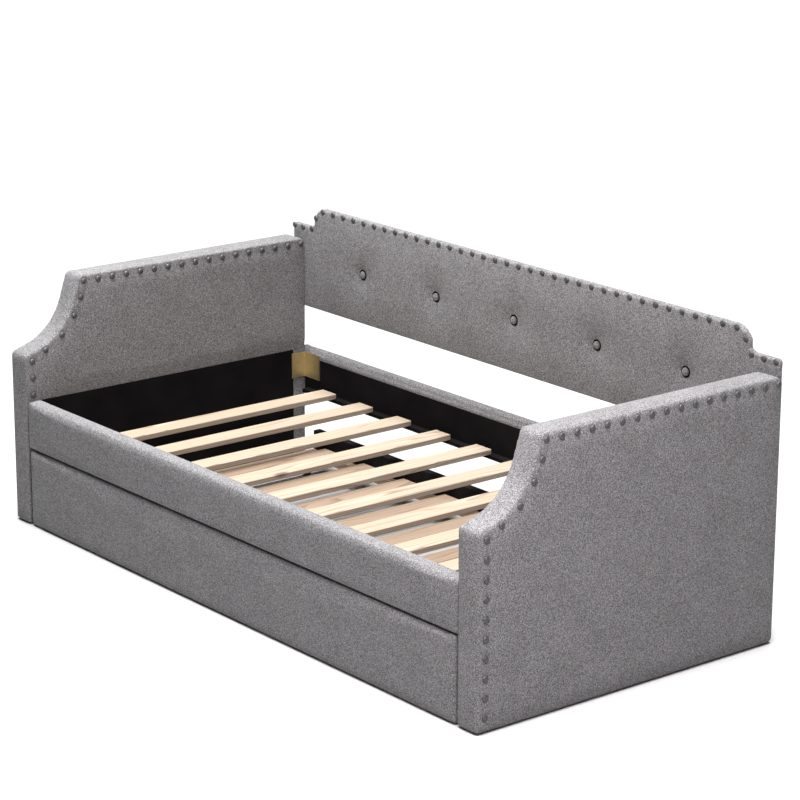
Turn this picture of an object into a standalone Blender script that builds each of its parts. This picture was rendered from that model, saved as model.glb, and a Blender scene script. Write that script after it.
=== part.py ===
"""Upholstered daybed with a roll-out trundle, one object for each of its pieces.

Metres, +Z up. X runs along the bed, -Y is its open front, and the origin is on
the floor under the middle of its outline.
"""
import math

import bmesh
import bpy
from mathutils import Vector

# ---- Driving sizes of the bed -------------------------------------------
LENGTH = 2.160              # outer face of one arm to outer face of the other
ARM_DEPTH = 1.038           # front of an arm to its rear face
ARM_THICKNESS = 0.075
ARM_HEIGHT = 0.748
ARM_FRONT_HEIGHT = 0.530    # where the scoop starts, at the front
SCOOP_DEPTH = 0.193         # the scoop's reach back along the arm's top
SCOOP_RADIUS = 0.190
SCOOP_CORNER = (0.1356, 0.5715)   # where its two straight ends would cross
ARM_BOTTOM = 0.004          # the glides hold the arms off the floor
ARM_EDGE = 0.010            # rounding of the padded edges
ARM_FRONT_CORNER = 0.014
ARM_REAR_CORNER = 0.026
ARM_FOOT_CORNER = 0.009
PAD = 0.010                 # wadding and cloth over the arm's frame

BACK_HALF_LENGTH = 1.066    # the back panel laps the arms' rear faces
BACK_THICKNESS = 0.021
BACK_BOTTOM = 0.521
BACK_SHOULDER = 0.788
BACK_TOP = 0.854
BACK_STEP = 0.958           # half length of the raised middle
BACK_STEP_CORNER = 0.055
BACK_SHOULDER_CORNER = 0.0115
BACK_FOOT_CORNER = 0.010
BACK_FRONT_EDGE = 0.008
BACK_REAR_EDGE = 0.002
BACK_BOARD_THICKNESS = 0.012
BACK_PAD = 0.009

RAIL_TOP = 0.391
RAIL_BOTTOM = 0.245
FRONT_RAIL_THICKNESS = 0.048
BACK_RAIL_THICKNESS = 0.0317
BACK_RAIL_HALF_LENGTH = 1.025
FRONT_RAIL_CORNER = 0.016   # its long upper edges
FRONT_RAIL_END_CORNER = 0.020
BACK_RAIL_CORNER = 0.013
RAIL_LOWER_CORNER = 0.006
RAIL_END_EDGE = 0.003

GAP = 0.0003                # between pieces that touch
LINING = 0.001              # dust cloth
ARM_LINING_BOTTOM = 0.030
ARM_LINING_TOP = 0.385
ARM_LINING_END = 0.048      # bare cloth behind it
RAIL_LINING_MARGIN = 0.007  # from the rail's lower edge
RAIL_LINING_TOP = 0.358

# ---- The slatted base ---------------------------------------------------
SLAT_TOP = 0.2746
SLAT_WIDTH = 0.069
SLAT_THICKNESS = 0.017
SLAT_COUNT = 10
SLAT_EDGE = 0.002
SLAT_FRONT_GAP = 0.012      # slat end to the front rail
SLAT_END_GAP = 0.017        # slat end to the back rail's lining
LEDGE_DEPTH = 0.025
LEDGE_BOTTOM = 0.2447
LEDGE_HALF_LENGTH = 0.985

BRACKET_PLATE = 0.003
BRACKET_ARM_WING = 0.053
BRACKET_RAIL_WING = 0.080
BRACKET_HEIGHT = 0.0815
FRONT_BRACKET_TOP = 0.3500
REAR_BRACKET_TOP = 0.3725
BRACKET_BEND = 0.003        # its outer radius

GLIDE_RADIUS = 0.012
GLIDE_INSET = 0.060

BUTTON_RADIUS = 0.012
BUTTON_HEIGHT = 0.006
BUTTON_PITCH = 0.357
BUTTON_Z = 0.677
BUTTON_COUNT = 5

# ---- The trundle --------------------------------------------------------
TRUNDLE_FRONT_HALF_LENGTH = 0.987
TRUNDLE_FRONT_THICKNESS = 0.045
TRUNDLE_FRONT_BOTTOM = 0.005
TRUNDLE_FRONT_TOP = 0.240
TRUNDLE_FRONT_CORNER = 0.012
TRUNDLE_FRONT_FOOT_CORNER = 0.008
TRUNDLE_FRONT_END_EDGE = 0.006
TRUNDLE_BOX_HALF_LENGTH = 0.900
TRUNDLE_REAR = 1.0175       # rear face of the back board, from the front
TRUNDLE_BACK_THICKNESS = 0.026
TRUNDLE_BACK_TOP = 0.1406
TRUNDLE_BOX_BOTTOM = 0.045
TRUNDLE_SIDE_THICKNESS = 0.022
TRUNDLE_LEDGE_BOTTOM = 0.055
TRUNDLE_SLAT_TOP = 0.0974
TRUNDLE_SLAT_WIDTH = 0.070
TRUNDLE_SLAT_COUNT = 9
TRUNDLE_SLAT_PITCH = 0.199
TRUNDLE_SLAT_END_GAP = 0.006

WHEEL_RADIUS = 0.020
WHEEL_HALF_WIDTH = 0.0065
HUB_HALF_WIDTH = 0.0080
HUB_RADIUS = 0.0078
AXLE_RADIUS = 0.0030
AXLE_BORE = 0.0033
CASTER_HALF_WIDTH = 0.0110
CASTER_CHEEK = 0.0020
CASTER_HALF_LENGTH = 0.014
CASTER_CHEEK_BOTTOM = 0.012
CASTER_FRONT = 0.090        # axle of a front caster, from the front
CASTER_REAR = 0.955

# ---- Worked out from the sizes above ------------------------------------
FRONT = -(ARM_DEPTH + BACK_RAIL_THICKNESS) / 2     # y of the arms' front faces
REAR = FRONT + ARM_DEPTH                           # y of their rear faces
ARM_INNER = LENGTH / 2 - ARM_THICKNESS             # x of an arm's inner face
FRONT_RAIL_INNER = FRONT + FRONT_RAIL_THICKNESS
SIDES = (("left", -1), ("right", 1))
COARSE_STEP = math.radians(20)                     # facets of the smaller roundings


def clear_scene():
    for old in list(bpy.data.objects):
        bpy.data.objects.remove(old, do_unlink=True)


def make_material(name, colour, roughness, metallic=0.0):
    material = bpy.data.materials.new(name)
    material.use_nodes = True
    shader = material.node_tree.nodes["Principled BSDF"]
    shader.inputs["Base Color"].default_value = (*colour, 1.0)
    shader.inputs["Roughness"].default_value = roughness
    shader.inputs["Metallic"].default_value = metallic
    return material


# ---- Outlines -----------------------------------------------------------
def fillet(corners, step=math.radians(11)):
    """Corners (u, v, radius) of a closed outline, with each corner rounded."""
    outline = []
    for index, (u, v, radius) in enumerate(corners):
        corner = Vector((u, v))
        before = Vector(corners[index - 1][:2]) - corner
        after = Vector(corners[(index + 1) % len(corners)][:2]) - corner
        if radius <= 0:
            outline.append(tuple(corner))
            continue
        opening = before.angle(after)
        middle = (before.normalized() + after.normalized()).normalized()
        centre = corner + middle * radius / math.sin(opening / 2)
        start = corner + before.normalized() * radius / math.tan(opening / 2) - centre
        turn = math.pi - opening
        if before.x * after.y - before.y * after.x > 0:
            turn = -turn
        count = max(2, round(abs(turn) / step))
        for i in range(count + 1):
            angle = turn * i / count
            across = Vector((start.x * math.cos(angle) - start.y * math.sin(angle),
                             start.x * math.sin(angle) + start.y * math.cos(angle)))
            outline.append(tuple(centre + across))
    return outline


def inset(corners, distance):
    """The same corners moved in by a distance, for an outline that runs clockwise."""
    moved = []
    for index, (u, v, radius) in enumerate(corners):
        corner = Vector((u, v))
        came = (corner - Vector(corners[index - 1][:2])).normalized()
        goes = (Vector(corners[(index + 1) % len(corners)][:2]) - corner).normalized()
        inward = Vector((came.y, -came.x)) + Vector((goes.y, -goes.x))
        shift = inward * distance / (1 + came.dot(goes))
        convex = came.x * goes.y - came.y * goes.x < 0
        change = -distance if convex else distance
        moved.append((*(corner + shift), max(radius + change, 0.0)))
    return moved


def arm_corners(bottom):
    """An arm seen from its left side: (distance from the front, height, rounding)."""
    return [
        (0.0, bottom, ARM_FOOT_CORNER),
        (0.0, ARM_FRONT_HEIGHT, ARM_FRONT_CORNER),
        (*SCOOP_CORNER, SCOOP_RADIUS),
        (SCOOP_DEPTH, ARM_HEIGHT, ARM_FRONT_CORNER),
        (ARM_DEPTH, ARM_HEIGHT, ARM_REAR_CORNER),
        (ARM_DEPTH, bottom, ARM_FOOT_CORNER),
    ]


def back_corners():
    """The back panel seen from the front: (x, height, rounding)."""
    half = [
        (BACK_HALF_LENGTH, BACK_BOTTOM, BACK_FOOT_CORNER),
        (BACK_HALF_LENGTH, BACK_SHOULDER, BACK_SHOULDER_CORNER),
        (BACK_STEP, BACK_SHOULDER, BACK_SHOULDER_CORNER),
        (BACK_STEP, BACK_TOP, BACK_STEP_CORNER),
    ]
    left = [(-x, z, radius) for x, z, radius in half]
    return left + half[::-1]


# ---- Solids -------------------------------------------------------------
def finish_object(name, mesh_builder, material, group, location=(0, 0, 0)):
    bmesh.ops.recalc_face_normals(mesh_builder, faces=mesh_builder.faces[:])
    mesh = bpy.data.meshes.new(name)
    mesh_builder.to_mesh(mesh)
    mesh_builder.free()
    mesh.materials.append(material)
    return place_object(name, mesh, group, location)


def place_object(name, mesh, group, location=(0, 0, 0)):
    made = bpy.data.objects.new(name, mesh)
    bpy.context.scene.collection.objects.link(made)
    made.location = location
    made.parent = group
    return made


def prism(name, outline, axis, low, high, material, group, round_low=0.0, round_high=0.0):
    """Push an outline from low to high along an axis, and round the rims of its ends."""
    places = {
        "X": lambda u, v, w: (w, FRONT + u, v),
        "Y": lambda u, v, w: (u, w, v),
        "Z": lambda u, v, w: (u, v, w),
    }
    place = places[axis]
    along = {"X": Vector((1, 0, 0)), "Y": Vector((0, 1, 0)), "Z": Vector((0, 0, 1))}[axis]
    shape = bmesh.new()
    low_cap = shape.faces.new([shape.verts.new(place(u, v, low)) for u, v in outline])
    pushed = bmesh.ops.extrude_face_region(shape, geom=[low_cap], use_keep_orig=True)
    high_verts = [item for item in pushed["geom"] if isinstance(item, bmesh.types.BMVert)]
    high_cap = [item for item in pushed["geom"] if isinstance(item, bmesh.types.BMFace)][0]
    bmesh.ops.translate(shape, verts=high_verts, vec=along * (high - low))
    bmesh.ops.recalc_face_normals(shape, faces=shape.faces[:])
    for cap, radius in ((low_cap, round_low), (high_cap, round_high)):
        if radius > 0:
            bmesh.ops.bevel(shape, geom=cap.edges[:], offset=radius, affect="EDGES",
                            segments=3, profile=0.5, material=-1)
    return finish_object(name, shape, material, group)


def block(name, low, high, material, group, bevel=0.001):
    """A board between two corners, with its edges eased, standing at its own middle."""
    middle = (Vector(low) + Vector(high)) / 2
    mesh = block_mesh(name, Vector(high) - Vector(low), material, bevel)
    return place_object(name, mesh, group, middle)


def block_mesh(name, size, material, bevel):
    shape = bmesh.new()
    bmesh.ops.create_cube(shape, size=1.0)
    bmesh.ops.scale(shape, verts=shape.verts[:], vec=size)
    if bevel > 0:
        bmesh.ops.bevel(shape, geom=shape.edges[:], offset=bevel, affect="EDGES",
                        segments=1, profile=0.5, material=-1)
    bmesh.ops.recalc_face_normals(shape, faces=shape.faces[:])
    mesh = bpy.data.meshes.new(name)
    shape.to_mesh(mesh)
    shape.free()
    mesh.materials.append(material)
    return mesh


def turned_mesh(name, profile, axis, steps, material):
    """Turn a closed profile of (along the axis, radius) about the X, Y or Z axis."""
    directions = {"X": (1, 0, 0), "Y": (0, 1, 0), "Z": (0, 0, 1)}
    outwards = {"X": (0, 0, -1), "Y": (0, 0, -1), "Z": (1, 0, 0)}
    along = Vector(directions[axis])
    out = Vector(outwards[axis])
    shape = bmesh.new()
    rim = [shape.verts.new(along * a + out * r) for a, r in profile]
    edges = [shape.edges.new((rim[i], rim[i + 1])) for i in range(len(rim) - 1)]
    if profile[0][1] > 0:
        edges.append(shape.edges.new((rim[-1], rim[0])))
    bmesh.ops.spin(shape, geom=rim + edges, cent=(0, 0, 0), axis=along,
                   angle=2 * math.pi, steps=steps, use_merge=True)
    bmesh.ops.remove_doubles(shape, verts=shape.verts[:], dist=0.00001)
    bmesh.ops.recalc_face_normals(shape, faces=shape.faces[:])
    mesh = bpy.data.meshes.new(name)
    shape.to_mesh(mesh)
    shape.free()
    mesh.materials.append(material)
    mesh.shade_smooth()
    mesh.set_sharp_from_angle(angle=math.radians(35))
    return mesh


def boolean(target, other, operation):
    """Cut or join with another object, which stays in the file as a hidden guide."""
    other.hide_render = True
    other.display_type = "WIRE"
    modifier = target.modifiers.new(operation.title(), "BOOLEAN")
    modifier.operation = operation
    modifier.object = other
    modifier.solver = "EXACT"


# ---- The bed frame ------------------------------------------------------
def make_arm(side, sign, materials, group):
    """An arm is a board frame in a padded cover that is open underneath."""
    outer, inner = sorted((sign * LENGTH / 2, sign * ARM_INNER))
    cover = prism(side + "_arm_cover", fillet(arm_corners(ARM_BOTTOM)), "X", outer, inner,
                  materials["cloth"], group, ARM_EDGE, ARM_EDGE)
    below = inset(arm_corners(ARM_BOTTOM - 2 * PAD), PAD)
    cutter = prism(side + "_arm_hollow", fillet(below), "X", outer + PAD, inner - PAD,
                   materials["cloth"], group)
    boolean(cover, cutter, "DIFFERENCE")
    core = inset(arm_corners(ARM_BOTTOM - PAD - GAP), PAD + GAP)
    prism(side + "_arm_frame", fillet(core), "X", outer + PAD + GAP, inner - PAD - GAP,
          materials["board"], group)
    face = sign * ARM_INNER
    near, far = sorted((face - sign * GAP, face - sign * (GAP + LINING)))
    block(side + "_arm_lining",
          (near, FRONT_RAIL_INNER + 2 * GAP, ARM_LINING_BOTTOM),
          (far, REAR - ARM_LINING_END, ARM_LINING_TOP), materials["lining"], group,
          bevel=0)
    glide = [(0.0, GLIDE_RADIUS - 0.001), (0.001, GLIDE_RADIUS),
             (ARM_BOTTOM - GAP, GLIDE_RADIUS)]
    middle = sign * (LENGTH / 2 - ARM_THICKNESS / 2)
    for place, y in (("front", FRONT + GLIDE_INSET), ("rear", REAR - GLIDE_INSET)):
        mesh = turned_mesh(side + "_" + place + "_glide",
                           [(0.0, 0.0), *glide, (ARM_BOTTOM - GAP, 0.0)], "Z", 20,
                           materials["plastic"])
        place_object(side + "_" + place + "_glide", mesh, group, (middle, y, 0))


def make_back_panel(materials, group):
    """A board let into the rear of a padded cover, with a row of tuft buttons."""
    face = REAR + GAP
    rear = REAR + BACK_THICKNESS
    cover = prism("back_panel_cover", fillet(back_corners()), "Y", face, rear,
                  materials["cloth"], group, BACK_FRONT_EDGE, BACK_REAR_EDGE)
    pocket = prism("back_panel_pocket", fillet(inset(back_corners(), BACK_PAD)), "Y",
                   rear - BACK_BOARD_THICKNESS, rear + PAD, materials["cloth"], group)
    boolean(cover, pocket, "DIFFERENCE")
    prism("back_panel_board", fillet(inset(back_corners(), BACK_PAD + GAP)), "Y",
          rear - BACK_BOARD_THICKNESS + GAP, rear, materials["board"], group)
    dome = [(0.0, 0.0), (0.0, BUTTON_RADIUS), (-0.002, BUTTON_RADIUS),
            (-0.0045, 0.72 * BUTTON_RADIUS), (-BUTTON_HEIGHT, 0.0)]
    mesh = turned_mesh("tuft_button", dome, "Y", 16, materials["cloth"])
    for number in range(BUTTON_COUNT):
        x = (number - (BUTTON_COUNT - 1) / 2) * BUTTON_PITCH
        place_object(f"tuft_button_{number + 1}", mesh, group, (x, REAR, BUTTON_Z))


def make_rails(materials, group):
    """The padded front rail between the arms, and the back rail behind them."""
    section = [
        (0.0, RAIL_BOTTOM, RAIL_LOWER_CORNER),
        (0.0, RAIL_TOP, FRONT_RAIL_CORNER),
        (FRONT_RAIL_THICKNESS, RAIL_TOP, FRONT_RAIL_CORNER),
        (FRONT_RAIL_THICKNESS, RAIL_BOTTOM, RAIL_LOWER_CORNER),
    ]
    reach = ARM_INNER - GAP
    rail = prism("front_rail", fillet(section, COARSE_STEP), "X", -reach, reach,
                 materials["cloth"], group, RAIL_END_EDGE, RAIL_END_EDGE)
    seen = [(-reach, RAIL_BOTTOM - PAD, 0.0), (-reach, RAIL_TOP, FRONT_RAIL_END_CORNER),
            (reach, RAIL_TOP, FRONT_RAIL_END_CORNER), (reach, RAIL_BOTTOM - PAD, 0.0)]
    guide = prism("front_rail_outline", fillet(seen, COARSE_STEP), "Y", FRONT - PAD,
                  FRONT_RAIL_INNER + PAD, materials["cloth"], group)
    boolean(rail, guide, "INTERSECT")
    near, far = ARM_DEPTH + GAP, ARM_DEPTH + BACK_RAIL_THICKNESS
    section = [
        (near, RAIL_BOTTOM, RAIL_LOWER_CORNER),
        (near, RAIL_TOP, BACK_RAIL_CORNER),
        (far, RAIL_TOP, BACK_RAIL_CORNER),
        (far, RAIL_BOTTOM, RAIL_LOWER_CORNER),
    ]
    prism("back_rail", fillet(section, COARSE_STEP), "X", -BACK_RAIL_HALF_LENGTH,
          BACK_RAIL_HALF_LENGTH, materials["cloth"], group, RAIL_END_EDGE, RAIL_END_EDGE)

    reach = ARM_INNER - LINING - 2 * GAP
    face = FRONT_RAIL_INNER + GAP
    bottom = RAIL_BOTTOM + RAIL_LINING_MARGIN
    block("front_rail_lining", (-reach, face, bottom),
          (reach, face + LINING, RAIL_LINING_TOP), materials["lining"], group, bevel=0)
    face = REAR - GAP
    block("back_rail_lining", (-reach, face - LINING, bottom),
          (reach, face, RAIL_LINING_TOP), materials["lining"], group, bevel=0)

    top = SLAT_TOP - SLAT_THICKNESS - GAP
    face = FRONT_RAIL_INNER + LINING + 2 * GAP
    block("front_ledge", (-LEDGE_HALF_LENGTH, face, LEDGE_BOTTOM),
          (LEDGE_HALF_LENGTH, face + LEDGE_DEPTH, top), materials["lining"], group)
    face = REAR - LINING - 2 * GAP
    block("back_ledge", (-LEDGE_HALF_LENGTH, face - LEDGE_DEPTH, LEDGE_BOTTOM),
          (LEDGE_HALF_LENGTH, face, top), materials["lining"], group)


def make_brackets(materials, group):
    """Four bent plates that hold the rails to the arms."""
    for side, sign in SIDES:
        for place, face, inward, top in (("front", FRONT_RAIL_INNER, 1, FRONT_BRACKET_TOP),
                                         ("rear", REAR, -1, REAR_BRACKET_TOP)):
            x = sign * (ARM_INNER - LINING - 2 * GAP)
            y = face + inward * (LINING + 2 * GAP)
            dx = -sign
            outline = [
                (x, y, BRACKET_BEND),
                (x + dx * BRACKET_RAIL_WING, y, 0.0),
                (x + dx * BRACKET_RAIL_WING, y + inward * BRACKET_PLATE, 0.0),
                (x + dx * BRACKET_PLATE, y + inward * BRACKET_PLATE, BRACKET_BEND / 2),
                (x + dx * BRACKET_PLATE, y + inward * BRACKET_ARM_WING, 0.0),
                (x, y + inward * BRACKET_ARM_WING, 0.0),
            ]
            prism(f"{side}_{place}_bracket", fillet(outline, math.radians(30)), "Z",
                  top - BRACKET_HEIGHT, top, materials["bracket"], group)


def make_slats(materials, group):
    low = FRONT_RAIL_INNER + SLAT_FRONT_GAP
    high = REAR - LINING - SLAT_END_GAP
    size = (SLAT_WIDTH, high - low, SLAT_THICKNESS)
    mesh = block_mesh("slat", size, materials["pine"], SLAT_EDGE)
    space = (2 * ARM_INNER - SLAT_COUNT * SLAT_WIDTH) / (SLAT_COUNT + 1)
    for number in range(SLAT_COUNT):
        x = -ARM_INNER + space + SLAT_WIDTH / 2 + number * (space + SLAT_WIDTH)
        place_object(f"slat_{number + 1:02d}", mesh, group,
                     (x, (low + high) / 2, SLAT_TOP - SLAT_THICKNESS / 2))


# ---- The trundle's pieces -----------------------------------------------
def make_trundle(materials, group):
    section = [
        (0.0, TRUNDLE_FRONT_BOTTOM, TRUNDLE_FRONT_FOOT_CORNER),
        (0.0, TRUNDLE_FRONT_TOP, TRUNDLE_FRONT_CORNER),
        (TRUNDLE_FRONT_THICKNESS, TRUNDLE_FRONT_TOP, TRUNDLE_FRONT_CORNER),
        (TRUNDLE_FRONT_THICKNESS, TRUNDLE_FRONT_BOTTOM, TRUNDLE_FRONT_FOOT_CORNER),
    ]
    prism("trundle_front", fillet(section, COARSE_STEP), "X", -TRUNDLE_FRONT_HALF_LENGTH,
          TRUNDLE_FRONT_HALF_LENGTH, materials["cloth"], group, TRUNDLE_FRONT_END_EDGE,
          TRUNDLE_FRONT_END_EDGE)

    box = TRUNDLE_BOX_HALF_LENGTH
    behind = FRONT + TRUNDLE_FRONT_THICKNESS + GAP
    rear = FRONT + TRUNDLE_REAR
    board = rear - TRUNDLE_BACK_THICKNESS
    block("trundle_back_board", (-box, board, TRUNDLE_BOX_BOTTOM),
          (box, rear, TRUNDLE_BACK_TOP), materials["lining"], group, bevel=0.0015)

    slat_bottom = TRUNDLE_SLAT_TOP - SLAT_THICKNESS
    for side, sign in SIDES:
        near, far = sorted((sign * box, sign * (box - TRUNDLE_SIDE_THICKNESS)))
        block(f"trundle_{side}_rail", (near, behind, TRUNDLE_BOX_BOTTOM),
              (far, board - GAP, slat_bottom - GAP), materials["pine"], group)
    reach = box - TRUNDLE_SIDE_THICKNESS - GAP
    block("trundle_front_ledge", (-reach, behind, TRUNDLE_LEDGE_BOTTOM),
          (reach, behind + LEDGE_DEPTH, slat_bottom - GAP), materials["pine"], group)
    block("trundle_back_ledge", (-reach, board - GAP - LEDGE_DEPTH, TRUNDLE_LEDGE_BOTTOM),
          (reach, board - GAP, slat_bottom - GAP), materials["pine"], group)

    low = behind + TRUNDLE_SLAT_END_GAP
    high = board - TRUNDLE_SLAT_END_GAP
    size = (TRUNDLE_SLAT_WIDTH, high - low, SLAT_THICKNESS)
    mesh = block_mesh("trundle_slat", size, materials["pine"], SLAT_EDGE)
    for number in range(TRUNDLE_SLAT_COUNT):
        x = (number - (TRUNDLE_SLAT_COUNT - 1) / 2) * TRUNDLE_SLAT_PITCH
        place_object(f"trundle_slat_{number + 1}", mesh, group,
                     (x, (low + high) / 2, TRUNDLE_SLAT_TOP - SLAT_THICKNESS / 2))


def make_casters(materials, group):
    """Fixed casters under the side rails: a bent fork with its pin, and a wheel."""
    top = TRUNDLE_BOX_BOTTOM - GAP
    half, cheek = CASTER_HALF_WIDTH, CASTER_CHEEK
    fork = [(-half, CASTER_CHEEK_BOTTOM), (-half, top), (half, top),
            (half, CASTER_CHEEK_BOTTOM), (half - cheek, CASTER_CHEEK_BOTTOM),
            (half - cheek, top - cheek), (cheek - half, top - cheek),
            (cheek - half, CASTER_CHEEK_BOTTOM)]
    profile = [
        (-HUB_HALF_WIDTH, AXLE_BORE), (-HUB_HALF_WIDTH, HUB_RADIUS),
        (-WHEEL_HALF_WIDTH, HUB_RADIUS + 0.0015), (-WHEEL_HALF_WIDTH, WHEEL_RADIUS - 0.002),
        (0.002 - WHEEL_HALF_WIDTH, WHEEL_RADIUS),
    ]
    profile += [(-a, r) for a, r in reversed(profile)]
    wheel = turned_mesh("caster_wheel", profile, "X", 24, materials["plastic"])
    pin_profile = [(-half - 0.0008, 0.0), (-half - 0.0008, AXLE_RADIUS),
                   (half + 0.0008, AXLE_RADIUS), (half + 0.0008, 0.0)]
    for side, sign in SIDES:
        x = sign * (TRUNDLE_BOX_HALF_LENGTH - TRUNDLE_SIDE_THICKNESS / 2)
        for place, distance in (("front", CASTER_FRONT), ("rear", CASTER_REAR)):
            y = FRONT + distance
            name = f"{side}_{place}_caster"
            outline = [(x + u, z) for u, z in fork]
            bracket = prism(name + "_fork", outline, "Y", y - CASTER_HALF_LENGTH,
                            y + CASTER_HALF_LENGTH, materials["steel"], group)
            mesh = turned_mesh(name + "_pin", pin_profile, "X", 16, materials["steel"])
            pin = place_object(name + "_pin", mesh, group, (x, y, WHEEL_RADIUS))
            boolean(bracket, pin, "UNION")
            place_object(name + "_wheel", wheel, group, (x, y, WHEEL_RADIUS))


def make_bed():
    clear_scene()
    materials = {
        "cloth": make_material("grey_cloth", (0.215, 0.208, 0.212), 0.95),
        "lining": make_material("black_lining", (0.008, 0.007, 0.008), 0.85),
        "board": make_material("frame_board", (0.48, 0.34, 0.20), 0.75),
        "pine": make_material("pine", (0.78, 0.61, 0.42), 0.60),
        "bracket": make_material("yellow_zinc", (0.50, 0.40, 0.17), 0.38, 1.0),
        "steel": make_material("zinc_steel", (0.45, 0.45, 0.46), 0.40, 1.0),
        "plastic": make_material("black_plastic", (0.02, 0.02, 0.02), 0.45),
    }
    bed = place_object("bed_frame", None, None)
    trundle = place_object("trundle", None, None)
    for side, sign in SIDES:
        make_arm(side, sign, materials, bed)
    make_back_panel(materials, bed)
    make_rails(materials, bed)
    make_brackets(materials, bed)
    make_slats(materials, bed)
    make_trundle(materials, trundle)
    make_casters(materials, trundle)


make_bed()
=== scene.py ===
# %% [markdown]
# # A trundle bed in grey linen
#
# A daybed is a sofa that is slept on: two upholstered arms, a low padded back, and a
# slatted base between two rails. Under this one a second slatted bed rolls out on
# casters. The joints, boards and sizes come ready made as a frame, and this lesson dresses
# it: wadding and cloth over the boards, nailheads, tufting, pine and plated steel.
#
# The frame is loaded first, because every piece below takes its place from it.

# %% Load the frame
import itertools
import math

import bmesh
import bpy
from mathutils import Matrix, Vector


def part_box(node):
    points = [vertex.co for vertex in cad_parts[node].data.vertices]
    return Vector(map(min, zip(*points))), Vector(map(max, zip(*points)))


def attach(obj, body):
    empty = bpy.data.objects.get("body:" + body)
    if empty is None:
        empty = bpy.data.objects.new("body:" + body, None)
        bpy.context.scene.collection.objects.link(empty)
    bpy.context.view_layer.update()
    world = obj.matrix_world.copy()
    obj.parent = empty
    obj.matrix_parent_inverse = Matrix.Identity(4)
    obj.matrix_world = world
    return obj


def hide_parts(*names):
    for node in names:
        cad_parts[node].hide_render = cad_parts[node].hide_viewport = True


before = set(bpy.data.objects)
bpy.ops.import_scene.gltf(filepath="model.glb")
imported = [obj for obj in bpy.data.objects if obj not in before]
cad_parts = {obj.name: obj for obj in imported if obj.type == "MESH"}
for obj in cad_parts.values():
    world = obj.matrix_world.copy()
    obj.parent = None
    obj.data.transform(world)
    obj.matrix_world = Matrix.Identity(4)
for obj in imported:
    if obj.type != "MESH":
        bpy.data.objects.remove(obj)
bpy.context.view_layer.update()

BED, TRUNDLE = "bed_frame", "trundle"

# %% [markdown]
# ## The camera and the light
#
# A long lens from a few metres away keeps the bed's long edges nearly parallel, as a
# furniture catalogue does. This cell only places a camera, and sets no render size or
# engine. Its lens could be pointed with a constraint, but three angles and a place say the
# same thing and leave nothing to update.

# %% Camera
AZIMUTH, ELEVATION, ROLL = (math.radians(a) for a in (51.31, 16.02, 0.18))
CAMERA_PLACE = Vector((6.013, -4.756, 2.733))
FOCAL_LENGTH = 127.1            # millimetres, on a sensor 36 mm wide
LENS_SHIFT = (0.0093, -0.0025)


def add_camera():
    backward = Vector((math.sin(AZIMUTH) * math.cos(ELEVATION),
                       -math.cos(AZIMUTH) * math.cos(ELEVATION), math.sin(ELEVATION)))
    turn = (-backward).to_track_quat("-Z", "Y").to_matrix() @ Matrix.Rotation(ROLL, 3, "Z")
    lens = bpy.data.cameras.new("camera")
    lens.lens = FOCAL_LENGTH
    lens.sensor_width = 36.0
    lens.shift_x, lens.shift_y = LENS_SHIFT
    camera = bpy.data.objects.new("camera", lens)
    camera.matrix_world = Matrix.Translation(CAMERA_PLACE) @ turn.to_4x4()
    bpy.context.scene.collection.objects.link(camera)
    bpy.context.scene.camera = camera
    print("camera at", tuple(round(v, 2) for v in CAMERA_PLACE))


add_camera()

# %% [markdown]
# The room is a white cove: a pale floor, a faint white surround, and a wide bank of light
# straight overhead, so the shadows stay under the bed. A key lamp stands close to the
# nearer arm, so its light fades along and down that arm, and a softbox above the bed lifts
# the back panel. The plain "Standard" view keeps white paper white, where the default film
# look would grey it.

# %% Floor, surround and lights
FLOOR_RADIUS = 60.0
FLOOR_GREY = 0.38
SURROUND = 0.14


def add_lamp(name, kind, place, target, strength, **settings):
    lamp = bpy.data.lights.new(name, kind)
    lamp.energy = strength
    for key, value in settings.items():
        setattr(lamp, key, value)
    holder = bpy.data.objects.new(name, lamp)
    place = Vector(place)
    aim = (Vector(target) - place).to_track_quat("-Z", "Y").to_matrix().to_4x4()
    holder.matrix_world = Matrix.Translation(place) @ aim
    bpy.context.scene.collection.objects.link(holder)


def add_room():
    shape = bmesh.new()
    bmesh.ops.create_circle(shape, cap_ends=True, radius=FLOOR_RADIUS, segments=64)
    mesh = bpy.data.meshes.new("floor")
    shape.to_mesh(mesh)
    shape.free()
    paper = bpy.data.materials.new("studio_floor")
    paper.use_nodes = True
    shader = paper.node_tree.nodes["Principled BSDF"]
    shader.inputs["Base Color"].default_value = (FLOOR_GREY, FLOOR_GREY, FLOOR_GREY, 1)
    shader.inputs["Roughness"].default_value = 0.95
    shader.inputs["Specular IOR Level"].default_value = 0.0
    mesh.materials.append(paper)
    floor = bpy.data.objects.new("floor", mesh)
    bpy.context.scene.collection.objects.link(floor)

    world = bpy.data.worlds.new("surround")
    world.use_nodes = True
    sky = world.node_tree.nodes["Background"]
    sky.inputs["Color"].default_value = (1, 1, 1, 1)
    sky.inputs["Strength"].default_value = SURROUND
    bpy.context.scene.world = world
    add_lamp("overhead", "SUN", (0.0, 0.0, 4.0), (0, 0, 0), 8.4, angle=math.radians(18))
    add_lamp("key", "AREA", (2.0, -1.2, 2.25), (0.9, -0.2, 0.5), 84, shape="DISK", size=1.4,
             color=(1.0, 0.93, 0.97))
    add_lamp("softbox", "AREA", (-0.6, -0.4, 2.1), (-0.3, 0.4, 0.6), 46, shape="DISK", size=1.4)
    bpy.context.scene.view_settings.view_transform = "Standard"


add_room()

# %% [markdown]
# ## Cloth, wood and metal
#
# Every finish is a small node tree. Patterns come from noise and waves, measured in metres,
# so that a thread is as wide on the rail as it is on the arm. A helper adds nodes and links
# in one call, because a tree made by hand is mostly plumbing.

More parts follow.
